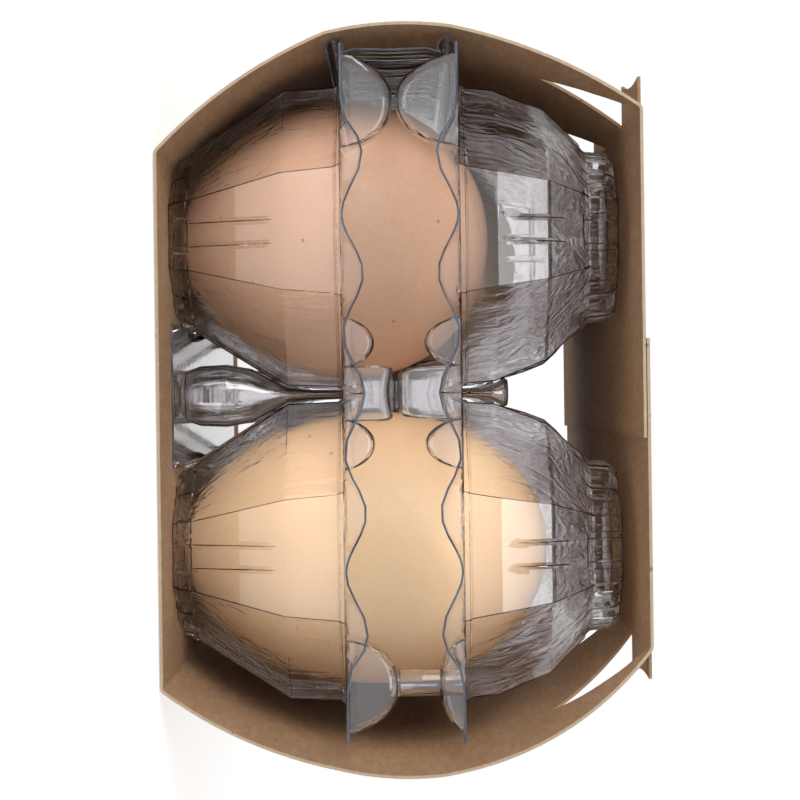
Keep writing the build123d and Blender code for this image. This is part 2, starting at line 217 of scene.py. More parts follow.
# %% A node group for small dots
def dots_group():
    """Round dots one to a cell of a loose pattern. Size is a dot's share of its cell."""
    tree, source, target = group("dots", {"Scale": 900.0, "Size": 0.2, "Softness": 0.1}, ["Mask"])
    cells = tree.nodes.new("ShaderNodeTexVoronoi")
    edge = tree.nodes.new("ShaderNodeMath")
    edge.operation = "ADD"
    ramp = tree.nodes.new("ShaderNodeMapRange")
    ramp.inputs["To Min"].default_value = 1.0
    ramp.inputs["To Max"].default_value = 0.0
    link = tree.links.new
    link(source.outputs["Vector"], cells.inputs["Vector"])
    link(source.outputs["Scale"], cells.inputs["Scale"])
    link(source.outputs["Size"], edge.inputs[0])
    link(source.outputs["Softness"], edge.inputs[1])
    link(cells.outputs["Distance"], ramp.inputs["Value"])
    link(source.outputs["Size"], ramp.inputs["From Min"])
    link(edge.outputs[0], ramp.inputs["From Max"])
    link(ramp.outputs[0], target.inputs["Mask"])
    return tree


# %% A node group for paper fibres
def fibres_group():
    """Short streaks. Along and Up draw them out along Y and Z, the smaller the longer."""
    tree, source, target = group("fibres", {"Scale": 500.0, "Along": 0.12, "Up": 1.0}, ["Mask"])
    squeeze = tree.nodes.new("ShaderNodeCombineXYZ")
    squeeze.inputs["X"].default_value = 1.0
    along = tree.nodes.new("ShaderNodeVectorMath")
    along.operation = "MULTIPLY"
    noise = tree.nodes.new("ShaderNodeTexNoise")
    noise.inputs["Detail"].default_value = 4.0
    noise.inputs["Distortion"].default_value = 0.8
    ramp = tree.nodes.new("ShaderNodeMapRange")
    ramp.inputs["From Min"].default_value = 0.42
    ramp.inputs["From Max"].default_value = 0.68
    link = tree.links.new
    link(source.outputs["Along"], squeeze.inputs["Y"])
    link(source.outputs["Up"], squeeze.inputs["Z"])
    link(source.outputs["Vector"], along.inputs[0])
    link(squeeze.outputs[0], along.inputs[1])
    link(along.outputs[0], noise.inputs["Vector"])
    link(source.outputs["Scale"], noise.inputs["Scale"])
    link(noise.outputs[0], ramp.inputs["Value"])
    link(ramp.outputs[0], target.inputs["Mask"])
    return tree


MOTTLE, DOTS, FIBRES = mottle_group(), dots_group(), fibres_group()
print("groups:", MOTTLE.name, DOTS.name, FIBRES.name)


# %% Helpers that build a material
def linear(red, green, blue):
    """A colour as a screen shows it, from 0 to 255, as the numbers that a shader wants."""
    shares = [value / 255 for value in (red, green, blue)]
    bent = [s / 12.92 if s <= 0.04045 else ((s + 0.055) / 1.055) ** 2.4 for s in shares]
    return (*bent, 1.0)


class Finish:
    """A material with a Principled BSDF, and short ways to feed it."""

    def __init__(self, name, color, roughness):
        self.material = bpy.data.materials.new(name)
        self.material.use_nodes = True
        self.tree = self.material.node_tree
        self.shader = self.tree.nodes["Principled BSDF"]
        self.shader.inputs["Base Color"].default_value = color
        self.shader.inputs["Roughness"].default_value = roughness
        self.place = self.tree.nodes.new("ShaderNodeTexCoord").outputs["Object"]

    def mask(self, tree, **values):
        node = self.tree.nodes.new("ShaderNodeGroup")
        node.node_tree = tree
        self.tree.links.new(self.place, node.inputs["Vector"])
        for label, value in values.items():
            node.inputs[label.replace("_", " ")].default_value = value
        return node.outputs["Mask"]

    def mix(self, mask, first, second, strength=1.0):
        """Mixes two colours, or a colour output and a colour, by a mask."""
        node = self.tree.nodes.new("ShaderNodeMix")
        node.data_type = "RGBA"
        scaled = self.tree.nodes.new("ShaderNodeMath")
        scaled.operation = "MULTIPLY"
        scaled.inputs[1].default_value = strength
        self.tree.links.new(mask, scaled.inputs[0])
        self.tree.links.new(scaled.outputs[0], node.inputs["Factor"])
        for value, socket in ((first, node.inputs["A"]), (second, node.inputs["B"])):
            self.feed(value, socket, node)
        return node.outputs["Result"]

    def feed(self, value, socket, node):
        sockets = [s for s in node.inputs if s.name == socket.name and s.type == "RGBA"]
        socket = sockets[0] if sockets else socket
        if isinstance(value, bpy.types.NodeSocket):
            self.tree.links.new(value, socket)
        else:
            socket.default_value = value

    def between(self, mask, low, high):
        node = self.tree.nodes.new("ShaderNodeMapRange")
        node.inputs["To Min"].default_value = low
        node.inputs["To Max"].default_value = high
        self.tree.links.new(mask, node.inputs["Value"])
        return node.outputs[0]

    def bump(self, height, depth, strength=1.0):
        node = self.tree.nodes.new("ShaderNodeBump")
        node.inputs["Distance"].default_value = depth
        node.inputs["Strength"].default_value = strength
        self.tree.links.new(height, node.inputs["Height"])
        self.tree.links.new(node.outputs[0], self.shader.inputs["Normal"])
        return node

    def set(self, label, value):
        if isinstance(value, bpy.types.NodeSocket):
            self.tree.links.new(value, self.shader.inputs[label])
        else:
            self.shader.inputs[label].default_value = value


def paint(piece, *finishes):
    piece.data.materials.clear()
    for finish in finishes:
        piece.data.materials.append(finish.material)


# %% [markdown]
# ### Clear sheet
# The sheet is clear plastic with a faint grey of its own. A Principled BSDF that transmits light bends
# the view and mirrors the room as the real sheet does. Light that reaches the eggs has to pass through
# it, and Cycles lets that light through cheaply if the sheet is transparent to shadow rays alone.

# %% The clear sheet
def clear_finish(name, color, roughness, calm_wave, drawn_wave):
    """Clear sheet. It is flattest on the facets that face the ends, and drawn into ripples elsewhere."""
    finish = Finish(name, color, roughness)
    finish.set("Transmission Weight", 1.0)
    finish.set("IOR", 1.52)
    tree, link = finish.tree, finish.tree.links.new
    facing = tree.nodes.new("ShaderNodeSeparateXYZ")
    link(finish.place.node.outputs["Normal"], facing.inputs[0])
    size = tree.nodes.new("ShaderNodeMath")
    size.operation = "ABSOLUTE"
    link(facing.outputs["Y"], size.inputs[0])
    calm = tree.nodes.new("ShaderNodeMapRange")
    calm.inputs["From Min"].default_value, calm.inputs["From Max"].default_value = 0.72, 0.9
    link(size.outputs[0], calm.inputs["Value"])
    broad = finish.mask(MOTTLE, Scale=110.0, Contrast=1.4)
    fine = finish.mask(FIBRES, Scale=520.0, Along=1.0, Up=0.1)
    both = tree.nodes.new("ShaderNodeMath")
    both.operation = "MULTIPLY_ADD"
    both.inputs[1].default_value = 0.6
    link(fine, both.inputs[0])
    link(broad, both.inputs[2])
    depth = finish.between(calm.outputs[0], drawn_wave / MM, calm_wave / MM)
    height = tree.nodes.new("ShaderNodeMath")
    height.operation = "MULTIPLY"
    link(both.outputs[0], height.inputs[0])
    link(depth, height.inputs[1])
    finish.bump(height.outputs[0], MM)
    straight = tree.nodes.new("ShaderNodeBsdfTransparent")
    straight.inputs["Color"].default_value = color
    rays = tree.nodes.new("ShaderNodeLightPath")
    either = tree.nodes.new("ShaderNodeMixShader")
    link(rays.outputs["Is Shadow Ray"], either.inputs[0])
    link(finish.shader.outputs[0], either.inputs[1])
    link(straight.outputs[0], either.inputs[2])
    link(either.outputs[0], tree.nodes["Material Output"].inputs["Surface"])
    return finish


clear_sheet = clear_finish("clear_sheet", linear(249, 248, 249), 0.02, 0.003 * MM, 0.06 * MM)
flat_sheet = clear_finish("flat_sheet", linear(249, 248, 249), 0.03, 0.003 * MM, 0.008 * MM)

# %% The sheet's cut edge
# Light that enters the sheet leaves it again at the cut, so a cut edge looks like a dark blue-grey line.
# That line is painted shade: the cut edge gets an opaque dark blue-grey colour, unevenly mottled.
painted_edge_shade = Finish("painted_edge_shade", linear(70, 78, 92), 0.25)
edge_shade_mottle = painted_edge_shade.mask(MOTTLE, Scale=400.0, Contrast=3.0)
painted_edge_shade.set("Base Color", painted_edge_shade.mix(edge_shade_mottle, linear(60, 68, 82), linear(104, 114, 130)))
print("clear sheet made")

# %% [markdown]
# ### Kraft board
# Kraft board is brown paper pulp: a warm grey-brown with darker and paler fibres along its grain, and a
# few specks of bark. Its cut edges are paler and rougher, because they show the torn fibres.

# %% The kraft board and its cut edge
def board_finish(name, base, dark, pale):
    finish = Finish(name, base, 0.85)
    clouds = finish.mask(MOTTLE, Scale=45.0, Contrast=2.2)
    fibres = finish.mask(FIBRES, Scale=900.0, Along=0.16)
    fine = finish.mask(FIBRES, Scale=2400.0, Along=0.3)
    specks = finish.mask(DOTS, Scale=420.0, Size=0.1, Softness=0.06)
    color = finish.mix(clouds, base, dark, 0.35)
    color = finish.mix(fibres, color, pale, 0.4)
    color = finish.mix(fine, color, dark, 0.3)
    color = finish.mix(specks, color, linear(78, 56, 40), 0.55)
    finish.set("Base Color", color)
    finish.set("Roughness", finish.between(fibres, 0.78, 0.92))
    finish.bump(fibres, 0.00008, 0.5)
    return finish


kraft = board_finish("kraft_board", linear(184, 148, 112), linear(156, 116, 80), linear(206, 176, 144))
kraft_edge = board_finish("kraft_edge", linear(214, 190, 162), linear(188, 160, 132), linear(232, 214, 192))
print("board made")

# %% [markdown]
# ### Egg shell
# A shell is smooth but not shiny. Its brown lies in faint clouds over a paler ground, it is pricked all
# over with pores, and here and there it has a darker speck.

# %% Egg shell finishes
def shell_finish(name, base, deep, speck):
    finish = Finish(name, base, 0.5)
    clouds = finish.mask(MOTTLE, Scale=38.0, Contrast=2.5)
    grain = finish.mask(MOTTLE, Scale=900.0, Contrast=2.5)
    pores = finish.mask(DOTS, Scale=1500.0, Size=0.16, Softness=0.2)
    specks = finish.mask(DOTS, Scale=170.0, Size=0.035, Softness=0.02)
    color = finish.mix(clouds, base, deep, 0.5)
    color = finish.mix(grain, color, deep, 0.22)
    color = finish.mix(pores, color, deep, 0.3)
    color = finish.mix(specks, color, speck, 0.7)
    finish.set("Base Color", color)
    finish.set("Roughness", finish.between(grain, 0.42, 0.58))
    finish.bump(pores, -0.00003, 0.35)
    return finish


SHELLS = {
    "egg_shell_pink": shell_finish(
        "egg_shell_pink", linear(212, 172, 144), linear(196, 150, 118), linear(120, 72, 50)
    ),
    "egg_shell_tan": shell_finish(
        "egg_shell_tan", linear(241, 207, 167), linear(230, 190, 144), linear(128, 84, 56)
    ),
    "egg_shell_brown": shell_finish(
        "egg_shell_brown", linear(214, 158, 116), linear(196, 138, 96), linear(110, 66, 46)
    ),
}
print("shells:", ", ".join(SHELLS))


# %% [markdown]
# ## The formed sheet
# The tray and the lid are each one sheet, drawn hot into a mould. Around every cell the sheet goes from
# the deck over the mouth, down the upper wall to a crease, in along the slanting facets to the heel, and
# across the floor. The rule below follows that path for one cell, and six such cells are welded.

# %% Places taken from the CAD frame
sheet_low, sheet_high = (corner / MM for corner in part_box("tray_rim"))
CELLS = []
for number in range(1, COLUMNS * ROWS + 1):
    low, high = (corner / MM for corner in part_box(f"tray_cell_{number}"))
    CELLS.append(((low.x + high.x) / 2, (low.y + high.y) / 2))
PITCH = CELLS[1][1] - CELLS[0][1]
MIDDLE_X = (sheet_low.x + sheet_high.x) / 2
RIM_X, RIM_Y = (sheet_high.x - sheet_low.x) / 2, sheet_high.y
MOUTH = (high.x - low.x) / 2
TRAY_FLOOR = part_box("tray_cell_1")[0].z / MM
LID_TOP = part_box("lid_cell_1")[1].z / MM
SHEET = 0.3  # the CAD's sheet is 0.4
print("cells at", [(round(x, 1), round(y, 1)) for x, y in CELLS], "mouth", round(2 * MOUTH, 1))

# %% Columns of points around a cell
# Round a quarter of a cell a column's number runs from 0, in the middle of the facet that faces X,
# past 1 and 2, at the two ends of the slanting facet, to 3, in the middle of the facet that faces Y.
FACET = math.tan(math.pi / 8)  # half of an octagon's side, as a share of its half width
RIDGE, RIDGE_HALF = 1.75, 0.5  # from a facet's middle to its ridges, and half a ridge's width
FACET_COLUMNS = [0, 0.17, 0.28, 0.39, 0.5, 0.58, 0.7, 0.85]
SLANT_COLUMNS = [1, 1.07, 1.16, 1.26, 1.35, 1.42, 1.5]
QUARTER = FACET_COLUMNS + SLANT_COLUMNS
QUARTER += [3 - c for c in QUARTER[-2::-1]]
SIGNS = [(1, 1), (-1, 1), (-1, -1), (1, -1)]
AROUND = 4 * (len(QUARTER) - 1)


def column_of(index):
    """A column's number and the signs of the quarter that it lies in."""
    quarter, step = divmod(index % AROUND, len(QUARTER) - 1)
    return QUARTER[-1 - step if quarter % 2 else step], SIGNS[quarter]


def across(c, side):
    """Distance from a facet's middle: in millimetres near its ridges, then a share of what is left."""
    near = RIDGE + RIDGE_HALF
    return 2 * c * near if c <= 0.5 else near + (side - near) * (2 * c - 1)


def octagon_point(c, half_x, half_y, side_x, side_y):
    if c <= 1:
        return half_x, across(c, side_x)
    if c >= 2:
        return across(3 - c, side_y), half_y
    return half_x + (side_y - half_x) * (c - 1), side_x + (half_y - side_x) * (c - 1)


def border_point(c, reach_x, reach_y):
    if c <= 1:
        return reach_x, across(c, FACET * reach_y)
    if c >= 2:
        return across(3 - c, FACET * reach_x), reach_y
    if c <= 1.5:
        return reach_x, reach_y * (FACET + (1 - FACET) * (2 * c - 2))
    return reach_x * (FACET + (1 - FACET) * (4 - 2 * c)), reach_y


print("points around a cell:", AROUND)


# %% The wall of a cell, from its mouth to its foot
def section_at(height, sections):
    """Reads (half_x, half_y, side_x, side_y) at a height from sections listed from the mouth on."""
    for upper, lower in zip(sections, sections[1:]):
        if upper[0] >= height >= lower[0]:
            t = (height - lower[0]) / (upper[0] - lower[0])
            return [low + (high - low) * t for high, low in zip(upper[1:], lower[1:])]
    return sections[-1][1:]


def relief(c, height, ridge_span, foot_top):
    """How far ridges, the slanting facet's rib and the foot's flutes move the sheet outwards."""
    low, full, high = ridge_span
    offset = across(min(c, 3 - c), 9) if c <= 1 or c >= 2 else 9
    ridge = max(0.0, 1 - abs(offset - RIDGE) / RIDGE_HALF)
    out = 0.5 * ridge * smoothstep((high - height) / (high - full)) * (height > low)
    rib = max(0.0, 1 - abs(c - 1.5) / 0.15)
    out += 0.42 * rib * max(0.0, 1 - ((height - high + 4) / 6.5) ** 2)
    if height < foot_top:
        out -= 0.5 * (int(7 * c) % 2)
    return out


def wall_point(c, height, sections, ridge_span, foot_top):
    half_x, half_y, side_x, side_y = section_at(height, sections)
    out = relief(c, height, ridge_span, foot_top)
    x, y = octagon_point(c, half_x, half_y, side_x, side_y)
    if c <= 1:
        return x + out, y
    if c >= 2:
        return x, y + out
    return x + out / math.sqrt(2), y + out / math.sqrt(2)


# %% [markdown]
# ## The deck between the cells
# The deck's two ends stand up in a wave that stiffens the sheet. On the deck stand the hollow posts that
# keep the lid off the tray: half domes at the corners, a block in the middle of each end with a low
# bulge on either side of it, and a block between each four cells. The CAD model also has a post midway
# along each side, between the cells; this sheet leaves those out, which is a fault that is still open.
# Below the deck a web hangs between each two cells that face each other. Only the front web can be
# seen on the real tray, so the others are a guess. The posts are steep, so each has its own fine grid.

# %% Height of the deck
WAVE_LENGTH = 17.4
DECK = sheet_low.z + 0.4
LIP = 2.2  # how far in from each end the deck starts to rise to its waved lip
EAR = (8.3, 4.9)  # from the rim's corner to the latch stud
EAR_FORWARD = 1.1  # the corner dome's middle is this much nearer the end than the stud


def deck_height(x, y):
    """How far the deck stands above its lowest level here."""
    inset = RIM_Y - abs(y)
    crest = 0.5 + 0.5 * math.cos(2 * math.pi * (x - MIDDLE_X) / WAVE_LENGTH)
    fade = smoothstep((RIM_X - abs(x - MIDDLE_X) - 8.6) / 4)
    return (0.25 + 3.0 * crest * fade) * smoothstep((LIP - inset) / LIP)


# %% Posts as hollow bubbles
def spread_out(t, power):
    """Turns an even step from -1 to 1 into one that crowds towards both ends."""
    return math.copysign(1 - (1 - abs(t)) ** power, t)


def bubble(name, centre, half, rise, level, across_power=2.2, dip=0.0, columns=26, rows=16):
    """A steep dome on the deck: round seen from the end, flat in front, with its top dipped by dip."""

    def place(column, row):
        u, v = spread_out(2 * column / columns - 1, 1.6), spread_out(2 * row / rows - 1, 2.6)
        arch = (1 - abs(u) ** across_power) ** (1 / across_power) * (1 - abs(v) ** 5) ** (1 / 5)
        z = DECK + 0.3 + rise * arch - dip * (1 - u * u) * (arch > 0.6)
        lean = 1 - 0.12 * arch if dip == 0 else 1
        return centre[0] + half[0] * u * lean, centre[1] + half[1] * v * lean, level(z)

    return shaped_grid(name, columns, rows, place)


def posts(rise, level, latch_share, dip):
    """All the posts of one deck."""
    found = []
    for end in (-1, 1):
        for side in (-1, 1):
            x, y = MIDDLE_X + side * (RIM_X - EAR[0]), end * (RIM_Y - EAR[1] + EAR_FORWARD)
            tall = rise * (latch_share if side > 0 else 1)
            found.append(bubble("ear", (x, y), (6.8, 3.2), tall, level))
            flank = (MIDDLE_X + side * 7.4, end * (RIM_Y - 2.7))
            found.append(bubble("bulge", flank, (3.7, 2.3), 0.58 * rise, level, 2.0))
        block = (MIDDLE_X, end * (RIM_Y - 3.3))
        found.append(bubble("end_block", block, (4.1, 2.9), rise, level, 9, dip))
        found.append(bubble("middle_post", (MIDDLE_X, end * PITCH / 2), (5.6, 5.6), rise, level, 5))
    return found


# %% Webs between the cells that face each other
def webs(sections, level):
    """A hollow web in each gap between two facing cells, from sections of (height, half x, half y)."""
    steps = 32

    def web(y):
        def place(column, row):
            turn = 2 * math.pi * column / steps
            height, half_x, half_y = sections[row]
            x, along = (math.copysign(abs(f(turn)) ** 0.8, f(turn)) for f in (math.cos, math.sin))
            return MIDDLE_X + half_x * x, y + half_y * along, level(height)

        return shaped_grid("web", steps, len(sections) - 1, place)

    return [web(y) for y in (-PITCH, 0, PITCH)]


# %% Six cells and their deck in one sheet
DECK_STEPS = [0, 0.012, 0.03, 0.055, 0.085, 0.12, 0.16, 0.2, 0.25, 0.3, 0.36, 0.42, 0.49, 0.56, 0.64]
DECK_STEPS += [0.72, 0.8, 0.88, 0.95, 1]
FOOT_RINGS = [(0.92, 0), (0.75, 0.02), (0.62, 1.1), (0.4, 1.3), (0.2, 1.35), (0.02, 1.35)]


def cell_sheet(name, centre, shape, level):
    """One cell with its share of the deck. level turns the tray's heights into heights in place."""
    cx, cy = centre
    reach_x = {1: (RIM_X if cx > MIDDLE_X else 0) + MIDDLE_X - cx}
    reach_x[-1] = cx - MIDDLE_X + (RIM_X if cx < MIDDLE_X else 0)
    reach_y = {1: RIM_Y - cy if cy > PITCH / 2 else PITCH / 2}
    reach_y[-1] = RIM_Y + cy if cy < -PITCH / 2 else PITCH / 2
    sections, heights = shape["sections"], shape["heights"]

    def place(index, row):
        c, (sign_x, sign_y) = column_of(index)
        if row < len(DECK_STEPS):
            share = DECK_STEPS[row]
            outer = border_point(c, reach_x[sign_x], reach_y[sign_y])
            mouth = octagon_point(c, *sections[0][1:])
            x, y = (o + (m - o) * share for o, m in zip(outer, mouth))
            x, y = cx + sign_x * x, cy + sign_y * y
            return x, y, level(DECK + deck_height(x, y))
        row -= len(DECK_STEPS)
        if row < len(heights):
            height, scale = heights[row], 1
        else:
            scale, lift = FOOT_RINGS[row - len(heights)]
            height = heights[-1]
        x, y = wall_point(c, height, sections, shape["ridges"], shape["foot"])
        if scale < 1:
            height = sections[-1][0] + lift
        return cx + sign_x * x * scale, cy + sign_y * y * scale, level(height)

    return shaped_grid(name, AROUND, len(DECK_STEPS) + len(heights) + len(FOOT_RINGS) - 1, place)


def formed_sheet(name, shape, level):
    parts = [cell_sheet(f"{name}_{i}", centre, shape, level) for i, centre in enumerate(CELLS)]
    parts += posts(shape["rise"], level, shape["latch_share"], shape["dip"])
    parts += webs(shape["webs"], level)
    sheet = join(name, parts)
    weld(sheet)
    # The cut edges get painted shade: the opaque dark blue-grey edge colour.
    paint(sheet, clear_sheet, painted_edge_shade)
    thicken(sheet, SHEET, -1)
    smooth(sheet, 24)
    report(sheet)
    return sheet


TRAY_SHAPE = {
    "sections": [
        (DECK, MOUTH, MOUTH, FACET * MOUTH, FACET * MOUTH),
        (26.3, MOUTH - 0.05, MOUTH - 0.05, 9.4, 9.4),
        (25.9, MOUTH - 0.4, MOUTH - 0.4, 9.2, 9.2),
        (18.1, MOUTH - 0.7, MOUTH - 0.7, 8.5, 8.5),
        (3.7, 13.25, 15.6, 5.4, 5.1),
        (1.6, 12.6, 14.6, 5.2, 4.9),
        (TRAY_FLOOR + 0.2, 11.6, 13.6, 4.8, 4.6),
    ],
    "heights": [26.3, 25.9, 25.2, 22, 19, 18.35, 18.1, 17.8, 17.3, 16.6, 15.6, 13, 10.5, 8, 5.6, 4.3]
    + [3.8, 3.6, 2.8, 1.6, TRAY_FLOOR + 0.2],
    "ridges": (1.2, 16.0, 17.6),
    "foot": 3.7,
    "rise": sheet_high.z - 0.35 - DECK,
    "latch_share": 1,
    "dip": 0.9,
    "webs": [(DECK - 0.2, 0.7, 5.5), (21, 0.8, 5.5), (18, 1.1, 5.8), (15, 2.6, 6.2), (12, 4.2, 6.6)]
    + [(8, 4.9, 7), (4, 4.7, 6.8), (2, 4.0, 6.2), (1.2, 3.0, 5), (TRAY_FLOOR + 0.2, 1.4, 2.5)]
    + [(TRAY_FLOOR + 0.2, 0.02, 0.02)],
}
tray = formed_sheet("tray_sheet", TRAY_SHAPE, lambda height: height)

# %% [markdown]
# ## The keel
# Beside the tongue between the two rows, the real carton looks pale where the board would look brown.
# Why is not known. This flat strip is a guess that gives that look: seen almost edge on, a clear sheet
# mirrors the bright far end. A tray formed from one sheet would not normally have it, so it is a piece
# of its own that can be left out. It gets a calmer finish, so that its mirror stays even.

# %% The keel
KEEL_HALF_X, KEEL_HALF_Y, KEEL_TOP, KEEL_SHEET = 11, 59, 0.8, 0.25


def keel_point(column, row):
    return MIDDLE_X + KEEL_HALF_X * (column / 5 - 1), KEEL_HALF_Y * (row / 30 - 1), KEEL_TOP


keel = shaped_grid("keel", 10, 60, keel_point)
# The cut edges get painted shade: the opaque dark blue-grey edge colour.
paint(keel, flat_sheet, painted_edge_shade)
thicken(keel, KEEL_SHEET, -1)
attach(keel, "tray")
report(keel)

# %% [markdown]
# ## The lid
# The lid is the tray's twin, turned over: its posts are longer, and its cells have a second crease and
# end in a small cap. The same rule draws it, with every height mirrored about the level halfway between
# the two decks.

# %% The lid's sheet
LID_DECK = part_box("lid_rim")[1].z / MM - 0.4
MIRROR = LID_DECK + DECK
POSTS_MEET = sheet_high.z + 0.3


def lid_level(height):
    return MIRROR - height


LID_WEB = [(LID_DECK + 0.2, 0.7, 5.5), (46.5, 0.8, 5.6), (49, 1.0, 5.8), (50.6, 1.8, 6.2)]
LID_WEB += [(51.4, 2.3, 6.3), (51.9, 2.1, 6.0), (52.0, 0.02, 0.02)]


def lid_sections(*rows):
    return [(lid_level(height), *widths) for height, *widths in rows]


LID_SHAPE = {
    "sections": lid_sections(
        (LID_DECK, MOUTH, MOUTH, FACET * MOUTH, FACET * MOUTH),
        (LID_DECK + 0.8, MOUTH - 0.05, MOUTH - 0.05, 9.4, 9.4),
        (LID_DECK + 1.2, MOUTH - 0.4, MOUTH - 0.4, 9.2, 9.2),
        (49.8, MOUTH - 0.7, MOUTH - 0.7, 8.5, 8.5),
        (57.7, 19.2, 19.4, 7.4, 7.3),
        (63.4, 14.0, 14.6, 5.6, 5.6),
        (64.2, 13.2, 13.6, 5.3, 5.3),
        (67.6, 12.9, 13.2, 5.2, 5.2),
        (LID_TOP - 0.2, 11.8, 12.0, 4.8, 4.8),
    ),
    "heights": [lid_level(z) for z in (LID_DECK + 0.8, LID_DECK + 1.2, LID_DECK + 1.9, 48, 49.5, 49.8)]
    + [lid_level(z) for z in (50.1, 50.5, 52.5, 54.6, 56, 57.4, 57.7, 58.0, 59.5, 61.5, 63.2, 63.5)]
    + [lid_level(z) for z in (64.1, 64.4, 65.8, 67.2, 67.8, LID_TOP - 0.2)],
    "ridges": (lid_level(61), lid_level(54.2), lid_level(50.4)),
    "foot": lid_level(63.4),
    "rise": LID_DECK - POSTS_MEET - 0.3,
    "latch_share": 0.4,
    "dip": 0,
    "webs": [(lid_level(z), x, y) for z, x, y in LID_WEB],
}
lid = formed_sheet("lid_sheet", LID_SHAPE, lid_level)

# %% [markdown]
# ## The eggs
# An egg is a ball drawn out to one end. The sphere primitive's points keep their level, and each ring is
# made wider towards the blunt end and narrower towards the pointed one. A very small unevenness keeps
# the reflections from looking machined. The sheet of each cell reaches about 0.8 mm into its egg's
# underside, which is a fault that is still open.

# %% Six eggs
BLUNTNESS = (0.10, 0.16, 0.14, 0.06, 0.12, 0.15)
EGG_SLOTS = {part["node"]: part["material_slot"] for part in frame["record"]["subparts"]}


def egg_piece(number, bluntness):
    node = f"egg_{number}"
    low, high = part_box(node)
    middle, half = (low + high) / 2, (high - low) / 2
    clear_selection()
    bpy.ops.mesh.primitive_uv_sphere_add(segments=96, ring_count=72, radius=1)
    piece = bpy.context.object
    piece.name = f"{node}_shell"
    levels = [i / 200 for i in range(-200, 201)]
    widest = max(math.sqrt(1 - s * s) * (1 + bluntness * s) for s in levels)
    for point in piece.data.vertices:
        s = point.co.z
        swell = (1 + bluntness * s) / widest
        swell *= 1 - 0.004 * abs(math.sin(3 * point.co.x + number) * math.cos(4 * s + number))
        point.co.x, point.co.y = point.co.x * swell, point.co.y * swell
    bpy.ops.transform.resize(value=half)
    bpy.ops.transform.translate(value=middle)
    settle(piece)
    bpy.ops.object.shade_smooth()
    paint(piece, SHELLS[EGG_SLOTS[node]])
    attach(piece, node)
    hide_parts(node)
    return piece


eggs = [egg_piece(number, bluntness) for number, bluntness in enumerate(BLUNTNESS, 1)]
report(eggs[0])

# %% [markdown]
# ## The hinge strip
# Tray and lid are joined by a strip that is part of the same sheet. Where it meets each of them the sheet
# is rolled into a small bead, which bends easily: a living hinge. Here the strip is a piece of its own,
# because it turns, and it isn't blended to its neighbours. Its section is drawn as a line of points and
# swept along the carton.

# %% The strip between the two living hinges
spine_low, spine_high = (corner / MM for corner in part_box("hinge_spine"))
BEAD = 1.25


def bead(centre_x, centre_z, start, sweep, steps=12):
    """Points on a rolled bead, from a start angle in degrees over a sweep."""
    angles = [math.radians(start + sweep * i / steps) for i in range(steps + 1)]
    return [(centre_x + BEAD * math.cos(a), centre_z + BEAD * math.sin(a)) for a in angles]


def swept_line(name, line, half_length, rows):
    """A sheet whose section is a line of (x, z) points."""

    def place(column, row):
        x, z = line[column]
        return x, half_length * (2 * row / rows - 1), z

    return shaped_grid(name, len(line) - 1, rows, place)


strip_x = (spine_low.x + spine_high.x) / 2 + 0.3
bead_x = strip_x + 0.1
strip_line = bead(bead_x, spine_low.z + BEAD, 300, -250)
strip_line += [(strip_x + 0.35, spine_low.z + 4), (strip_x + 0.5, 34), (strip_x + 0.35, spine_high.z - 4)]
strip_line += bead(bead_x, spine_high.z - BEAD, 310, -250)
strip = swept_line("hinge_strip", strip_line, spine_high.y, 40)
# The cut edges get painted shade: the opaque dark blue-grey edge colour.
paint(strip, clear_sheet, painted_edge_shade)
thicken(strip, SHEET, 0)
smooth(strip, 40)
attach(strip, "spine")
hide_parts("hinge_spine")
report(strip)

# %% [markdown]
# ## The latch studs
# Two hollow studs hang under the lid's latch-side corners, over the tray's corner domes. Each starts as
# a cylinder: its lower end is inset and pressed in, its top is hollowed out and its edges are rounded.
# Real studs would snap into sockets. The domes here have none, so the studs' ends run into them, which
# is a fault that is still open.

# %% Latch studs
def latch_stud(number, end):
    low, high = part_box("latch_studs")
    x, y = (MIDDLE_X + RIM_X - EAR[0]) * MM, end * (RIM_Y - EAR[1]) * MM
    clear_selection()
    bpy.ops.mesh.primitive_cylinder_add(
        vertices=48, radius=2.0 * MM, depth=high.z - low.z, location=(x, y, (low.z + high.z) / 2)
    )
    piece = bpy.context.object
    piece.name = f"latch_stud_{number}"
    settle(piece)
    only(piece)
    bpy.ops.object.mode_set(mode="EDIT")
    bpy.ops.mesh.select_mode(type="FACE")
    bpy.ops.mesh.select_all(action="DESELECT")
    shape = bmesh.from_edit_mesh(piece.data)
    shape.faces.ensure_lookup_table()
    for face in shape.faces:
        face.select = face.normal.z < -0.9
    bmesh.update_edit_mesh(piece.data)
    bpy.ops.mesh.inset(thickness=0.5 * MM)
    bpy.ops.mesh.extrude_region_move(TRANSFORM_OT_translate={"value": (0, 0, 0.5 * MM)})
    bpy.ops.mesh.inset(thickness=0.35 * MM)
    bpy.ops.mesh.select_all(action="DESELECT")
    shape = bmesh.from_edit_mesh(piece.data)
    for face in shape.faces:
        face.select = face.normal.z > 0.9
    bmesh.update_edit_mesh(piece.data)
    bpy.ops.mesh.inset(thickness=0.4 * MM)
    bpy.ops.mesh.extrude_region_move(TRANSFORM_OT_translate={"value": (0, 0, low.z - high.z + 0.0014)})
    bpy.ops.object.mode_set(mode="OBJECT")
    edge = piece.modifiers.new("soft edges", "BEVEL")
    edge.width = 0.3 * MM
    edge.segments = 3
    edge.limit_method = "ANGLE"
    apply_all(piece)
    smooth(piece, 40)
    paint(piece, clear_sheet)
    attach(piece, "lid")
    return piece


studs = [latch_stud(1, -1), latch_stud(2, 1)]
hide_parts("latch_studs")
report(studs[0])

# %% [markdown]
# ## The kraft sleeve
# The sleeve is one folded blank. Its section is a line that runs round the carton: bowed sides between
# score lines, a flat base, and two flaps that overlap on top. Each leaf is swept from its part of that
# line, gets the board's thickness, and has its notches cut out by a Boolean modifier.

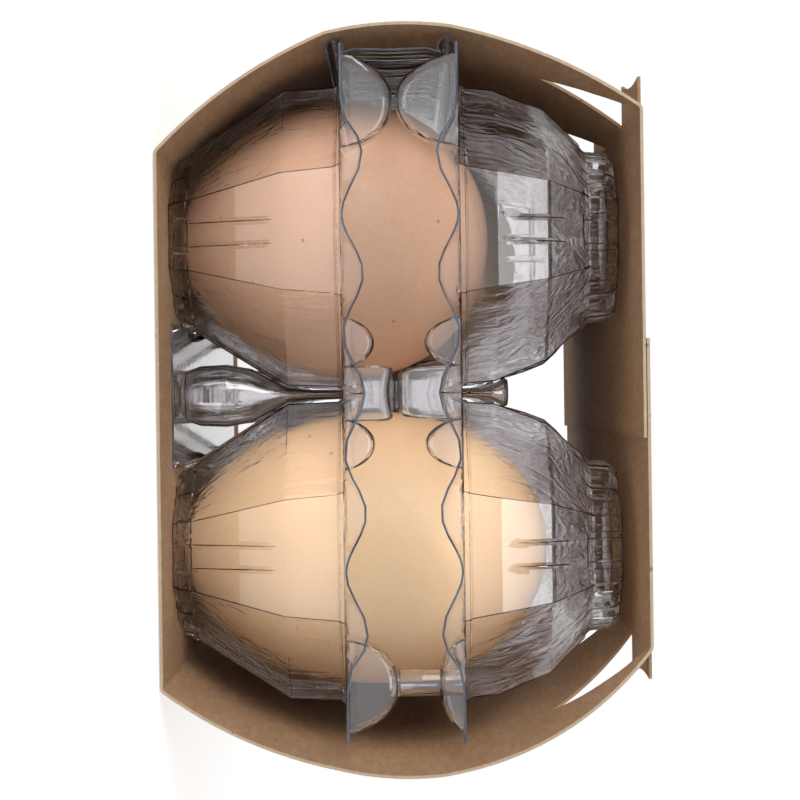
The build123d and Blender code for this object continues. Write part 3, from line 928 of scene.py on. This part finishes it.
# %% The sleeve's section
BOARD = 0.45
base_low, base_high = (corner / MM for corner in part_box("sleeve_base"))
inner_low, inner_high = (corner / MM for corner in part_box("sleeve_flap_inner"))
outer_low, outer_high = (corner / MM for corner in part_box("sleeve_flap_outer"))
SLEEVE_Y = base_high.y
fold_low = [value / MM for value in joints["sleeve_fold_hinge"]["pos_m"]]
fold_high = [value / MM for value in joints["sleeve_top_hinge"]["pos_m"]]
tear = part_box("sleeve_latch_side_upper")[0].z / MM - 0.1
HINGE_CREASE = (-42.1, inner_high.z)
LATCH_CREASE = (36.5, outer_high.z)
HINGE_BOWS = (1.6, 0.85, 1.5)
LATCH_BOWS = (1.55, 0.7, 3.5)
LATCH_SCORE = (53.4, 25.5)
LATCH_TEAR = (54.5, tear)
HAIRLINE = 0.005


def bowed(start, end, bow, steps=12):
    """Points from start to end along a line that stands out to its right by bow in the middle."""
    run = math.dist(start, end)
    out = ((end[1] - start[1]) / run, (start[0] - end[0]) / run)
    points = []
    for i in range(steps + 1):
        t = i / steps
        swell = 4 * bow * t * (1 - t)
        x = start[0] + (end[0] - start[0]) * t + out[0] * swell
        z = start[1] + (end[1] - start[1]) * t + out[1] * swell
        points.append((x, z))
    return points


def creased(before, after, radius=0.6, steps=4):
    """Joins two lines of points that share a corner, with the corner rounded."""
    corner = before[-1]

    def towards(other):
        run = math.dist(corner, other)
        return [c + (o - c) * radius / run for c, o in zip(corner, other)]

    first, last = towards(before[-2]), towards(after[1])
    bend = []
    for i in range(steps + 1):
        t = i / steps
        weights = ((1 - t) ** 2, 2 * t * (1 - t), t * t)
        bend.append(tuple(sum(w * p[k] for w, p in zip(weights, (first, corner, last))) for k in (0, 1)))
    return before[:-1] + bend + after[1:]


# %% Sweeping and cutting the leaves
def board_leaf(name, line):
    leaf = swept_line(name, line, SLEEVE_Y, 50)
    paint(leaf, kraft, kraft_edge)
    thicken(leaf, BOARD, 1)
    smooth(leaf, 35)
    return leaf


def plate(name, outline, push):
    """A flat outline of points in millimetres, drawn out by push into a closed plate."""
    mesh = bpy.data.meshes.new(name)
    mesh.from_pydata([Vector(point) * MM for point in outline], [], [range(len(outline))])
    piece = bpy.data.objects.new(name, mesh)
    bpy.context.scene.collection.objects.link(piece)
    in_edit_mode(
        piece,
        lambda: bpy.ops.mesh.extrude_region_move(TRANSFORM_OT_translate={"value": Vector(push) * MM}),
        lambda: bpy.ops.mesh.select_all(action="SELECT"),
        lambda: bpy.ops.mesh.normals_make_consistent(inside=False),
    )
    return piece


def cut(piece, cutters):
    for cutter in cutters:
        knife = piece.modifiers.new("cut", "BOOLEAN")
        knife.operation = "DIFFERENCE"
        knife.object = cutter
        apply_all(piece)
        bpy.data.objects.remove(cutter)


lower_line = bowed(fold_low[::2], (base_low.x, 0), HINGE_BOWS[0])
lower_line[0] = (fold_low[0], fold_low[2] - HAIRLINE)
latch_line = bowed((base_high.x, 0), LATCH_SCORE, LATCH_BOWS[0])
latch_line += bowed(LATCH_SCORE, LATCH_TEAR, LATCH_BOWS[1])[1:]
latch_line[-1] = (LATCH_TEAR[0], LATCH_TEAR[1] - HAIRLINE)
lower_line = creased(lower_line, [lower_line[-1], (0, 0), latch_line[0]])
lower_line = creased(lower_line, latch_line)
lower = board_leaf("sleeve_lower_leaf", lower_line)
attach(lower, "sleeve_lower")
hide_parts("sleeve_base", "sleeve_hinge_side_lower", "sleeve_latch_side_lower")
report(lower)

# %% The fold strip beside the clamshell's hinge
fold_line = bowed(fold_high[::2], fold_low[::2], HINGE_BOWS[1])
fold_line[0] = (fold_high[0], fold_high[2] - HAIRLINE)
fold_line[-1] = (fold_low[0], fold_low[2] + HAIRLINE)
fold = board_leaf("sleeve_fold_leaf", fold_line)
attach(fold, "sleeve_fold")
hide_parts("sleeve_spine")
report(fold)

# %% Notches and their tabs
NOTCHES = 3
NOTCH_LENGTH, NOTCH_REACH, NOTCH_TIP = 22.5, 13.6, 0.78
NOTCH_STARTS = [-SLEEVE_Y + 2.8 + PITCH * i for i in range(NOTCHES)]
TAB_NEAR, TAB_FAR = 4.6, 6.4
TAB_ROOT = 0.3


def notch(side, crease, start):
    """The block that cuts one notch: wide at the crease and pointed down the side panel."""
    x, top = crease
    tip = start + NOTCH_TIP * NOTCH_LENGTH
    outline = [
        (start, top + 1),
        (start, top - BOARD),
        ((start + tip) / 2, top - 0.46 * NOTCH_REACH),
        (tip, top - NOTCH_REACH),
        (start + NOTCH_LENGTH, top - BOARD),
        (start + NOTCH_LENGTH, top + 1),
    ]
    root = x - side * TAB_ROOT
    return plate("notch", [(root, y, z) for y, z in outline], (side * 30, 0, 0))


def crease_tab(side, crease, start):
    """The pointed tab that stays in the plane of the top, with its edge hollowed."""
    x, top = crease
    edge = []
    for i in range(9):
        t = i / 8
        reach = TAB_NEAR + (TAB_FAR - TAB_NEAR) * t - 1.25 * 4 * t * (1 - t) * 0.8
        edge.append((x + side * reach, start + NOTCH_LENGTH * t, top))
    root = x - side * 2 * TAB_ROOT
    outline = edge + [(root, start + NOTCH_LENGTH, top), (root, start, top)]
    return plate("crease_tab", outline, (0, 0, -BOARD))


def side_tab(side, line, start):
    """The tab that stands straight out from the bowed panel beside the notch's tip."""
    top = line[0][1]
    tip_y = start + NOTCH_TIP * NOTCH_LENGTH
    low_z = top - NOTCH_REACH - 1.2

    def reach(z):
        return min(line, key=lambda point: abs(point[1] - z))[0]

    lean = (reach(low_z + 3) - reach(low_z)) / 3
    corners = [(tip_y + 0.6, low_z), ((start + tip_y) / 2 - 0.1, top - 0.5 * NOTCH_REACH + 0.6)]
    corners.append(((start + tip_y) / 2 + 2.9, low_z + 9.5))
    outline = [(reach(low_z) + lean * (z - low_z), y, z) for y, z in corners]
    return plate("side_tab", outline, (-side * BOARD, 0, 0))


# %% The two upper leaves
def upper_leaf(name, side, crease, line, flap_reach):
    """A flap and the side panel below it, as one leaf with three notches and six tabs."""
    down = line if side < 0 else line[::-1]
    if side < 0:
        whole = creased([(crease[0] + flap_reach, crease[1]), crease], line)
    else:
        whole = creased(line, [crease, (crease[0] - flap_reach, crease[1])])
    leaf = board_leaf(name, whole)
    cut(leaf, [notch(side, crease, start) for start in NOTCH_STARTS])
    tabs = [crease_tab(side, crease, start) for start in NOTCH_STARTS]
    tabs += [side_tab(side, down, start) for start in NOTCH_STARTS]
    for tab in tabs:
        paint(tab, kraft, kraft_edge)
    return join(name, [leaf] + tabs)


hinge_line = bowed(HINGE_CREASE, fold_high[::2], HINGE_BOWS[2], 20)
hinge_line[-1] = (fold_high[0], fold_high[2] + HAIRLINE)
hinge_leaf = upper_leaf("sleeve_hinge_leaf", -1, HINGE_CREASE, hinge_line, inner_high.x - HINGE_CREASE[0])
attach(hinge_leaf, "sleeve_upper")
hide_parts("sleeve_hinge_side_upper", "sleeve_flap_inner")
report(hinge_leaf)

latch_upper = bowed(LATCH_TEAR, LATCH_CREASE, LATCH_BOWS[2], 20)
latch_upper[0] = (LATCH_TEAR[0], LATCH_TEAR[1] + HAIRLINE)
latch_leaf = upper_leaf("sleeve_latch_leaf", 1, LATCH_CREASE, latch_upper, LATCH_CREASE[0] - outer_low.x)
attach(latch_leaf, "sleeve_upper")
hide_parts("sleeve_latch_side_upper", "sleeve_flap_outer")
report(latch_leaf)

# %% Glue
GLUE_PALE, GLUE_DEEP = linear(205, 190, 150), linear(180, 160, 120)
glue = Finish("dried_glue", GLUE_PALE, 0.35)
glue_clouds = glue.mask(MOTTLE, Scale=300.0, Contrast=2.0)
glue.set("Base Color", glue.mix(glue_clouds, GLUE_PALE, GLUE_DEEP))
paint(frame["nodes"]["sleeve_glue"], glue)

# %% [markdown]
# ## The camera
# The camera looks along the carton into its open front end, level with its middle. It is turned a
# quarter turn, so that the carton's top is at the right of the picture.

# %% Camera
VIEW_HEIGHT = 35.2 * MM
VIEW_DISTANCE = 309 * MM
PICTURE_TURN = 0.0129
sight = bpy.data.cameras.new("end_view")
sight.lens = 96.3
camera = bpy.data.objects.new("end_view", sight)
bpy.context.scene.collection.objects.link(camera)
right = Vector((PICTURE_TURN, 0, 1)).normalized()
up = Vector((-1, 0, PICTURE_TURN)).normalized()
back = right.cross(up)
camera.matrix_world = Matrix((right, up, back)).transposed().to_4x4()
camera.location = (0, cad_bounds[0][1] - VIEW_DISTANCE, VIEW_HEIGHT)
bpy.context.scene.camera = camera
print("camera at", [round(value, 3) for value in camera.location])

# %% [markdown]
# ## The stage
# The floor and the air round the object are white, so the clear sheet has something pale to mirror. The
# world is plain, low light from all round. A broad lamp stands in front, on the hinge side, where flat
# clear walls that face the end don't mirror it. A small one stands higher, where the lid's sloping
# facets do. Both stand in front, so the back, the sides and the top are lit more weakly.

# %% Floor
FILL = 0.3  # strength of the even light from all round
FLOOR_GLOW = 0.68  # what the floor adds to its own light, for the eye alone


def white_to_eye(tree):
    """1 for rays from the camera, in a mirror or through the clear sheet, and 0 for the rest."""
    rays = tree.nodes.new("ShaderNodeLightPath")
    total = rays.outputs["Is Camera Ray"]
    for name in ("Is Glossy Ray", "Is Transmission Ray"):
        more = tree.nodes.new("ShaderNodeMath")
        more.operation = "MAXIMUM"
        tree.links.new(total, more.inputs[0])
        tree.links.new(rays.outputs[name], more.inputs[1])
        total = more.outputs[0]
    return total


def white_stage():
    """White to the eye and in reflections, while it still takes the object's shadow."""
    finish = Finish("stage_white", linear(250, 250, 250), 0.9)
    finish.set("Emission Color", (1, 1, 1, 1))
    share = finish.between(white_to_eye(finish.tree), 0.0, FLOOR_GLOW)
    finish.set("Emission Strength", share)
    return finish


clear_selection()
bpy.ops.mesh.primitive_plane_add(size=12, location=(0, 0, -0.0002))
floor = bpy.context.object
floor.name = "floor"
settle(floor)
paint(floor, white_stage())

# %% World and lamps
scene = bpy.context.scene
scene.view_settings.view_transform = "Standard"
world = bpy.data.worlds.new("white_room")
scene.world = world
world.use_nodes = True
air = world.node_tree
air.nodes["Background"].inputs["Color"].default_value = (1, 1, 1, 1)
level = air.nodes.new("ShaderNodeMapRange")
level.inputs["To Min"].default_value = FILL
air.links.new(white_to_eye(air), level.inputs["Value"])
air.links.new(level.outputs[0], air.nodes["Background"].inputs["Strength"])


def lamp(name, place, width, height, power):
    """A rectangular area lamp that points at the middle of the object."""
    data = bpy.data.lights.new(name, "AREA")
    data.shape = "RECTANGLE"
    data.size, data.size_y = width, height
    data.energy = power
    piece = bpy.data.objects.new(name, data)
    scene.collection.objects.link(piece)
    piece.location = place
    aim = Vector((0, 0, VIEW_HEIGHT)) - Vector(place)
    piece.rotation_euler = aim.to_track_quat("-Z", "Y").to_euler()
    return piece


lamp("broad_front", (-0.52, -0.68, 0.17), 0.5, 0.32, 3.1)
lamp("lid_gleam", (0, -0.53, 0.44), 0.3, 0.14, 0.38)
BOUNCES = 24  # light passes many walls of clear sheet on its way through the carton
scene.cycles.max_bounces = BOUNCES
scene.cycles.transmission_bounces = BOUNCES
scene.cycles.transparent_max_bounces = BOUNCES
print("stage ready")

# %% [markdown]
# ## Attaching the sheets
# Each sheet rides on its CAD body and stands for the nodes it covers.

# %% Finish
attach(tray, "tray")
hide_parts("tray_rim", *[f"tray_cell_{i}" for i in range(1, 7)])
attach(lid, "lid")
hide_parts("lid_rim", *[f"lid_cell_{i}" for i in range(1, 7)])
